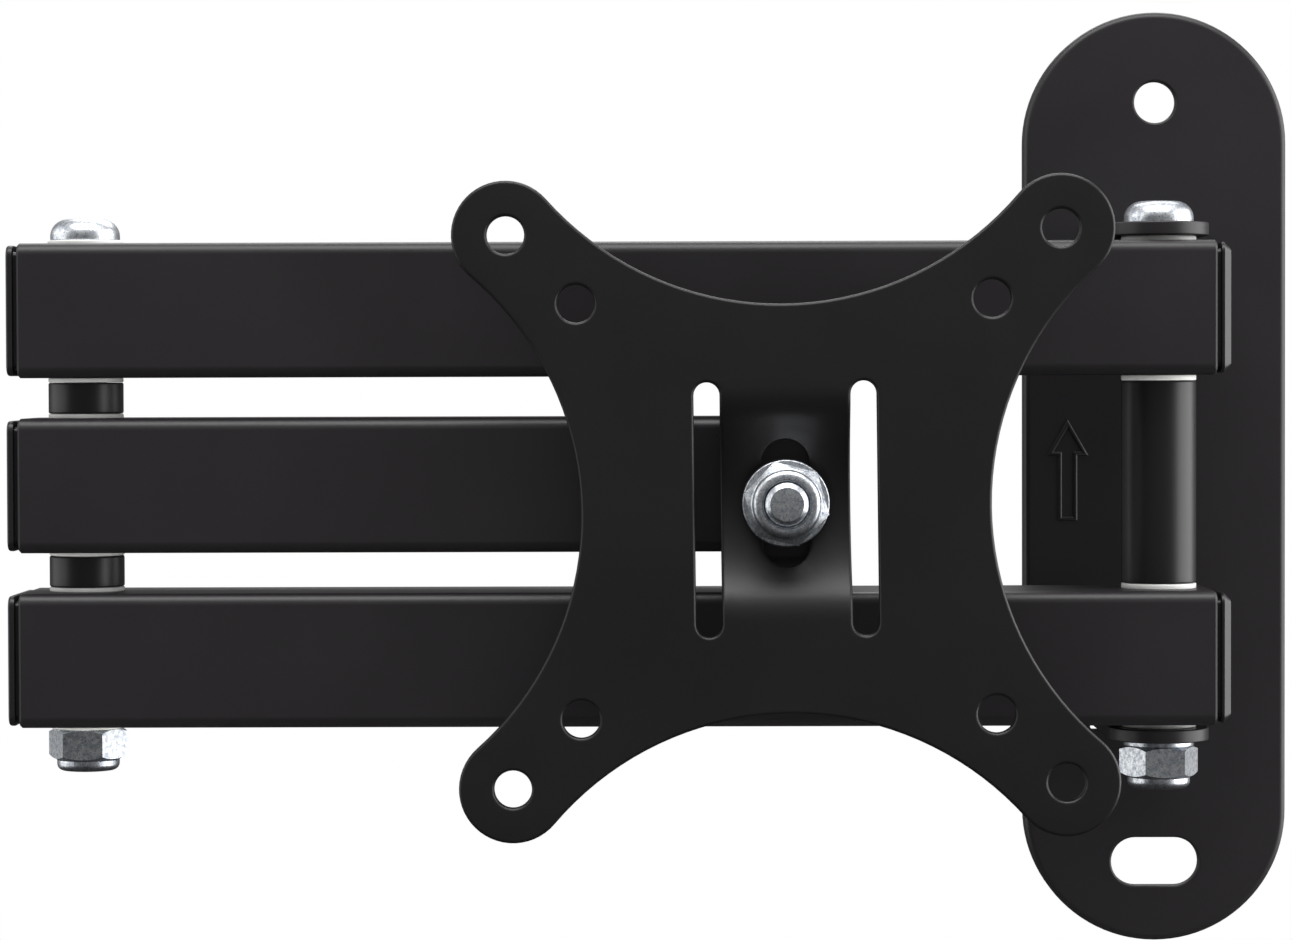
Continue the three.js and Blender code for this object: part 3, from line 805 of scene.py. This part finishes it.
def makeTube(node, pivots):
    piece = standFor(node, tubeShape(sizeOf(node).x), powderCoat, middleOf(node))
    piece.modifiers.clear()
    cutters = []
    reach = tube["size"] * 0.8      # past both walls
    for x in pivots:
        points, faces = loft([circle(tube["bore"], -reach, 48), circle(tube["bore"], reach, 48)])
        mesh = bpy.data.meshes.new("drill")
        spot = Vector((x, middleOf(node).y, middleOf(node).z))
        mesh.from_pydata([spot + Vector(p) * millimetre for p in points], [], faces)
        cutter = bpy.data.objects.new("drill", mesh)
        bpy.context.scene.collection.objects.link(cutter)
        cutters.append(cutter)
    drill(piece, cutters)


wallX, elbowX, headX = [jointAt[joint].x for joint in ("wall_swivel", "elbow_fold", "head_swivel")]
makeTube("upper_arm_tube", (wallX, elbowX))
makeTube("lower_arm_tube", (wallX, elbowX))
makeTube("inner_arm_tube", (elbowX, headX))

cap = {
    "gap": 0.8,                 # between the tube's end and the cap's face
    "inset": 0.4,
    "corner": 2.0,
    "dome": 0.25,
    "backEdge": 0.25,
    "plug": 21.6,
    "plugLength": 3.8,
    "plugWall": 1.4,
    "roundEdge": (0.5, 4),      # size and steps of the small rounded edge at the elbow and head
    "flatEdge": (1.3, 1),       # a single step is the flat chamfer of the wall caps
}


def capShape(face, edge, steps):
    # Points out along X, with the tube's end at x = 0
    s = cap
    side = tube["size"] - 2 * s["inset"]
    back = s["gap"]
    loops = []

    def addLoop(size, corner, x):
        loops.append([(x, y, z) for y, z in roundedSquareLoop(size, corner, 6)])

    for share in (0.04, 0.3, 0.55, 0.75, 0.9):
        size = (side - 2 * edge) * share
        addLoop(size, max(0.3, s["corner"] * share - 0.1), face - s["dome"] * share ** 3)
    for angle in quarterTurn(steps):
        grow = edge * math.sin(angle)
        addLoop(side - 2 * edge + 2 * grow, s["corner"] - edge + grow,
                face - s["dome"] - edge * (1 - math.cos(angle)))
    for angle in quarterTurn(2):
        shrink = s["backEdge"] * (1 - math.cos(angle))
        addLoop(side - 2 * shrink, s["corner"] - shrink, back + s["backEdge"] * (1 - math.sin(angle)))
    addLoop(s["plug"] + 0.3, 0.9, back)
    addLoop(s["plug"], 0.8, back - 0.3)
    addLoop(s["plug"], 0.8, 0.4 - s["plugLength"])
    addLoop(s["plug"] - 0.5, 0.6, -s["plugLength"])
    hollow = s["plug"] - 2 * s["plugWall"]
    addLoop(hollow, 0.5, -s["plugLength"])
    addLoop(hollow - 0.3, 0.4, 0.1)
    return loft(loops)


for node in bodyOf:
    if not node.endswith("_cap"):
        continue
    low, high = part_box(node)
    onLeft = middleOf(node).x < middleOf(node.split("_arm_")[0] + "_arm_tube").x
    turn = Matrix.Rotation(math.pi, 4, "Z") if onLeft else Matrix.Identity(4)
    place = middleOf(node)
    reach = sizeOf(node).x - cap["plugLength"]
    place.x = low[0] + reach * millimetre if onLeft else high[0] - reach * millimetre
    edge, steps = cap["flatEdge"] if node.endswith("wall_cap") else cap["roundEdge"]
    standFor(node, capShape(reach, edge, steps), mouldedPlastic, place, turn)
print("arms made")


# Pivots

bush = {"bore": 4.25, "barrel": 5.6, "flangeRadius": 7.0, "barrelLength": 6.0}
for node in bodyOf:
    if not node.endswith("_bush"):
        continue
    height = sizeOf(node).z
    flange = height - bush["barrelLength"]
    shape = ringOf([
        (bush["bore"], -bush["barrelLength"], 0.2),
        (bush["barrel"], -bush["barrelLength"], 0.3),
        (bush["barrel"], 0, 0),
        (bush["flangeRadius"], 0, 0.15),
        (bush["flangeRadius"], flange, 0.25),
        (bush["bore"], flange, 0.15)])
    low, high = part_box(node)
    onTop = node.endswith("top_bush")
    turn = Matrix.Identity(4) if onTop else Matrix.Rotation(math.pi, 4, "X")
    place = middleOf(node)
    place.z = high[2] - flange * millimetre if onTop else low[2] + flange * millimetre
    standFor(node, shape, nylon, place, turn)

sleeve = {"bore": 4.25, "radius": 7.0, "edge": 0.35}
for node in ("wall_pivot_sleeve", "elbow_upper_sleeve", "elbow_lower_sleeve"):
    half = sizeOf(node).z / 2
    shape = ringOf([(sleeve["bore"], -half, 0.2), (sleeve["radius"], -half, sleeve["edge"]),
                    (sleeve["radius"], half, sleeve["edge"]), (sleeve["bore"], half, 0.2)])
    standFor(node, shape, sleevePaint, middleOf(node))

boltHead = {
    "height": 4.0,
    "lowHeight": 2.8,           # the head pivot's bolt, which lies between the arms
    "shank": 3.95,
    "point": 0.7,
    "radius": 6.5,
    "flat": 0.5,                # share of the radius that the dome's flat top takes
    "lip": 0.8,
    "socket": 5.0,
    "socketDepth": 2.2,
    "turn": 0.3,                # no socket stands square
}


def buttonBoltShape(headHeight, length, steps=72):
    # The head stands on z = 0
    s = boltHead
    depth = min(s["socketDepth"], headHeight - 0.8)
    profile = [(s["shank"] - s["point"], -length), (s["shank"], s["point"] - length), (s["shank"], 0),
               (s["radius"] - 0.15, 0), (s["radius"], 0.15)]
    flat = s["radius"] * s["flat"]
    for angle in quarterTurn(12):
        profile.append((flat + (s["radius"] - flat) * math.cos(angle),
                        s["lip"] + (headHeight - s["lip"]) * math.sin(angle)))
    loops = [circle(r, z, steps) for r, z in profile]
    loops.append(hexagon(s["socket"], headHeight - 0.02, steps, 0.22))
    loops.append(hexagon(s["socket"], headHeight - 0.25, steps))
    loops.append(hexagon(s["socket"], headHeight - depth, steps))
    loops.append(circle(s["socket"] * 0.3, headHeight - depth - 0.25, steps))
    return loft(loops)


nut = {
    "flats": 13,
    "tiltFlats": 13.8,
    "bore": 4.15,
    "collarInset": 0.65,
    "collarHeight": 2.2,
    "lip": 1.3,                 # how far the collar rolls in over the nylon
    "slope": math.tan(math.radians(30)),
    "wallSpin": math.radians(56),
    "elbowSpin": math.radians(121),
    "headSpin": math.radians(90),
    "tiltSpin": math.radians(46),
}


def lockNutShape(flats, height, collarHeight, steps=72):
    # Sits on z = 0 with its collar on top
    s = nut
    washerFace = flats / 2 * 0.95
    collar = flats / 2 - s["collarInset"]
    hexTop = height - collarHeight
    angles = [fullTurn * k / steps for k in range(steps)]

    def chamfered(base, direction):
        loop = []
        for a in angles:
            reach = hexReach(flats, a) - 0.05
            rise = max(0.02, (reach - washerFace) * s["slope"])
            loop.append((reach * math.cos(a), reach * math.sin(a), base + direction * rise))
        return loop

    loops = [circle(s["bore"], 0.4, steps), circle(s["bore"] + 0.4, 0, steps),
             circle(washerFace - 0.1, 0, steps)]
    loops += [chamfered(0, 1), chamfered(hexTop, -1), circle(washerFace - 0.15, hexTop, steps)]
    if collarHeight > 0:
        neck = [(collar + 0.2, hexTop), (collar, hexTop + 0.2)]
        lip = [(collar - s["lip"] * (1 - math.cos(a)), height - s["lip"] * (1 - math.sin(a)))
               for a in quarterTurn(6)]
        inner = [(s["bore"] + 0.35, height), (s["bore"] + 0.2, height - 0.35), (s["bore"], height - 0.5)]
        loops += [circle(r, z, steps) for r, z in neck + lip + inner]
    else:
        loops += [circle(s["bore"] + 0.4, height, steps), circle(s["bore"], height - 0.4, steps)]
    return loft(loops, ring=True)


def boltFor(node, headHeight):
    low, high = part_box(node)
    length = (high[2] - low[2]) / millimetre - headHeight
    place = middleOf(node)
    place.z = high[2] - headHeight * millimetre
    turn = Matrix.Rotation(boltHead["turn"], 4, "Z")
    standFor(node, buttonBoltShape(headHeight, length), zinc, place, turn)


boltFor("wall_pivot_bolt", boltHead["height"])
boltFor("elbow_bolt", boltHead["height"])
boltFor("head_pivot_bolt", boltHead["lowHeight"])


def nutFor(node, collarHeight, spin):
    # Under a stack, so it hangs from its top face with the collar down
    low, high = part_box(node)
    place = middleOf(node)
    place.z = high[2]
    turn = Matrix.Rotation(math.pi, 4, "X") @ Matrix.Rotation(spin, 4, "Z")
    height = (high[2] - low[2]) / millimetre
    standFor(node, lockNutShape(nut["flats"], height, collarHeight), zinc, place, turn, crease=24)


nutFor("wall_pivot_nut", nut["collarHeight"], nut["wallSpin"])
nutFor("elbow_nut", nut["collarHeight"], nut["elbowSpin"])
nutFor("head_pivot_nut", 0.0, nut["headSpin"])

washer = {"wallBore": 4.25, "wallEdge": 0.2, "tiltBore": 4.3, "tiltEdge": 0.3, "backEdge": 0.1}


def washerShape(bore, radius, thickness, edge):
    # Only the outer corner of the upper face is rolled by the punch
    back, half = washer["backEdge"], thickness / 2
    return ringOf([(bore, -half, back), (radius, -half, back), (radius, half, edge), (bore, half, back)])


wallWasherSize = sizeOf("wall_pivot_washer")
wallWasherShape = washerShape(washer["wallBore"], wallWasherSize.x / 2, wallWasherSize.z, washer["wallEdge"])
standFor("wall_pivot_washer", wallWasherShape, zinc, middleOf("wall_pivot_washer"))

# Tilt joint: everything points to the front
toFront = Matrix.Rotation(math.pi / 2, 4, "X")
stud = {"head": 5.4, "headThickness": 1.3, "shank": 3.95, "point": 0.9}
tiltWasherSize = sizeOf("tilt_washer")
tiltWasherShape = washerShape(washer["tiltBore"], tiltWasherSize.x / 2, tiltWasherSize.y, washer["tiltEdge"])
standFor("tilt_washer", tiltWasherShape, zinc, middleOf("tilt_washer"), toFront)

nutLow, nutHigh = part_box("tilt_nut")
nutPlace = middleOf("tilt_nut")
nutPlace.y = nutHigh[1]
tiltNutShape = lockNutShape(nut["tiltFlats"], (nutHigh[1] - nutLow[1]) / millimetre, nut["collarHeight"])
tiltNutTurn = toFront @ Matrix.Rotation(nut["tiltSpin"], 4, "Z")
standFor("tilt_nut", tiltNutShape, zinc, nutPlace, tiltNutTurn, crease=24)

studLow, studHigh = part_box("tilt_bolt")
studPlace = middleOf("tilt_bolt")
studPlace.y = studHigh[1]
studLength = (studHigh[1] - studLow[1]) / millimetre
studProfile = filleted([
    (0.02, 0, 0),
    (stud["head"], 0, 0.15),
    (stud["head"], stud["headThickness"], 0.1),
    (stud["shank"], stud["headThickness"], 0),
    (stud["shank"], studLength - stud["point"], 0.2),
    (stud["shank"] - stud["point"], studLength, 0.15),
    (0.02, studLength, 0)])
studShape = loft([circle(r, z) for r, z in studProfile])
standFor("tilt_bolt", studShape, zinc, studPlace, toFront)

saddle = {"radius": 8.0, "bore": 4.25, "rings": 5, "fromStrip": 1.2}


def saddleShape(node, curve, curvedFront):
    # A disc whose one face follows the bowed strip, with depths measured from the tilt axis
    low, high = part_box(node)
    axisY = jointAt["screen_tilt"].y
    flat = ((high[1] if curvedFront else low[1]) - axisY) / millimetre
    spread = [saddle["bore"] + (saddle["radius"] - saddle["bore"]) * k / saddle["rings"]
              for k in range(saddle["rings"] + 1)]

    def curved(radius):
        return [(x, math.sqrt(curve ** 2 - z ** 2), z) for x, z, _ in circle(radius, 0)]

    loops = [curved(radius) for radius in spread]
    loops += [[(x, flat, z) for x, z, _ in circle(radius, 0)] for radius in reversed(spread)]
    return loft(loops, ring=True)


strip = screenPlate["bowRadius"]
for node, curve, curvedFront in (("tilt_rear_saddle", strip + saddle["fromStrip"], True),
                                 ("tilt_front_saddle", strip - saddle["fromStrip"], False)):
    shape = saddleShape(node, curve, curvedFront)
    standFor(node, shape, mouldedPlastic, jointAt["screen_tilt"], levelTurn)
print("pivots made")


# Floor, light and camera

objectMiddle = (Vector(cadLow) + Vector(cadHigh)) / 2
floorDisc = {
    "drop": 0.55,
    "radius": 2.6,
    "colour": "#eeeeec",
    "roughness": (0.75, 0.85),
    "cloudMm": 1000 / 3,
}


def makeFloor():
    points = circle(floorDisc["radius"], 0, 96)
    middle = Vector((objectMiddle.x, objectMiddle.y, -floorDisc["drop"]))
    mesh = bpy.data.meshes.new("floor")
    mesh.from_pydata([Vector(p) + middle for p in points], [], [tuple(range(len(points)))])
    floor = bpy.data.objects.new("floor", mesh)
    bpy.context.scene.collection.objects.link(floor)
    finish, tree = newFinish("paleFloor")
    place = addNode(tree, "ShaderNodeTexCoord").outputs["Object"]
    cloud = noiseOf(tree, place, perMetre(floorDisc["cloudMm"]), 2.0)
    gloss = spreadOf(tree, cloud, *floorDisc["roughness"])
    paper = addNode(tree, "ShaderNodeBsdfPrincipled", inputs={"Base Color": linearColour(floorDisc["colour"]),
                                                              "Roughness": gloss})
    addNode(tree, "ShaderNodeOutputMaterial", inputs={"Surface": paper.outputs["BSDF"]})
    mesh.materials.append(finish)
    floor.visible_glossy = False    # so that undersides stay as dark as over a deep sweep


makeFloor()

world = {
    "seen": 1.0,                # the plain white behind the object
    "above": 0.5,
    "level": 0.14,
    "below": 0.03,
    "darkestAt": -0.5,          # heights of the direction where the fade ends
    "palestAt": 0.8,
}


def makeWorld():
    # Softly lit room: pale overhead and darker towards the floor, behind a plain white backdrop
    surround = bpy.data.worlds.new("studio")
    surround.use_nodes = True
    tree = surround.node_tree
    tree.nodes.clear()
    ray = addNode(tree, "ShaderNodeLightPath")
    direction = addNode(tree, "ShaderNodeTexCoord").outputs["Generated"]
    up = addNode(tree, "ShaderNodeSeparateXYZ", inputs={0: direction})
    lower = spreadOf(tree, up.outputs["Z"], world["below"], world["level"], world["darkestAt"], 0.0)
    upper = spreadOf(tree, up.outputs["Z"], 0.0, world["above"] - world["level"], 0.0, world["palestAt"])
    total = addNode(tree, "ShaderNodeMath", {"operation": "ADD"}, {0: lower, 1: upper})
    white = (1, 1, 1, 1)
    around = addNode(tree, "ShaderNodeBackground", inputs={"Color": white, "Strength": total.outputs[0]})
    seen = addNode(tree, "ShaderNodeBackground", inputs={"Color": white, "Strength": world["seen"]})
    both = addNode(tree, "ShaderNodeMixShader", inputs={0: ray.outputs["Is Camera Ray"],
                                                        1: around.outputs[0],
                                                        2: seen.outputs[0]})
    addNode(tree, "ShaderNodeOutputWorld", inputs={"Surface": both.outputs[0]})
    bpy.context.scene.world = surround


makeWorld()

# Soft boxes: place in metres from the object's middle, size, and power in watts
softBoxes = {
    "topBox": {"place": (0.0, -0.35, 0.95), "size": (1.2, 0.6), "power": 11},
    "leftBox": {"place": (-1.1, -0.05, 0.15), "size": (1.3, 1.2), "power": 6},
    "rightBox": {"place": (1.1, -0.1, 0.15), "size": (1.3, 1.2), "power": 18},
    "rearBox": {"place": (0.1, 0.8, 0.9), "size": (1.0, 0.6), "power": 6},
}


def makeSoftBoxes():
    for name, box in softBoxes.items():
        data = bpy.data.lights.new(name, "AREA")
        data.shape = "RECTANGLE"
        data.size, data.size_y = box["size"]
        data.energy = box["power"]
        light = bpy.data.objects.new(name, data)
        light.location = objectMiddle + Vector(box["place"])
        light.rotation_mode = "QUATERNION"
        light.rotation_quaternion = (-Vector(box["place"])).to_track_quat("-Z", "Y")
        bpy.context.scene.collection.objects.link(light)


makeSoftBoxes()

# The eye is level with the upper arms' lower edge and a little left of the screen plate
camera = {
    "distance": 0.70,
    "left": 0.0203,
    "up": 0.0242,
    "sensor": 36,
    "lens": 108.2,
    "aimX": 0.0050,             # the line of sight drifts this far left over the distance
    "aimZ": -0.0171,            # and this far down
    "roll": math.radians(0.17),
}


def makeCamera():
    data = bpy.data.cameras.new("camera")
    data.sensor_width = camera["sensor"]
    data.lens = camera["lens"]
    data.clip_start = 0.01
    eye = bpy.data.objects.new("camera", data)
    eye.location = plateMiddle + Vector((-camera["left"], -camera["distance"], camera["up"]))
    aim = Vector((-camera["aimX"], camera["distance"], camera["aimZ"]))
    eye.rotation_mode = "QUATERNION"
    eye.rotation_quaternion = aim.to_track_quat("-Z", "Y") @ Quaternion((0, 0, 1), -camera["roll"])
    bpy.context.scene.collection.objects.link(eye)
    bpy.context.scene.camera = eye


makeCamera()
bpy.context.scene.view_settings.view_transform = "Standard"
print("stage made")
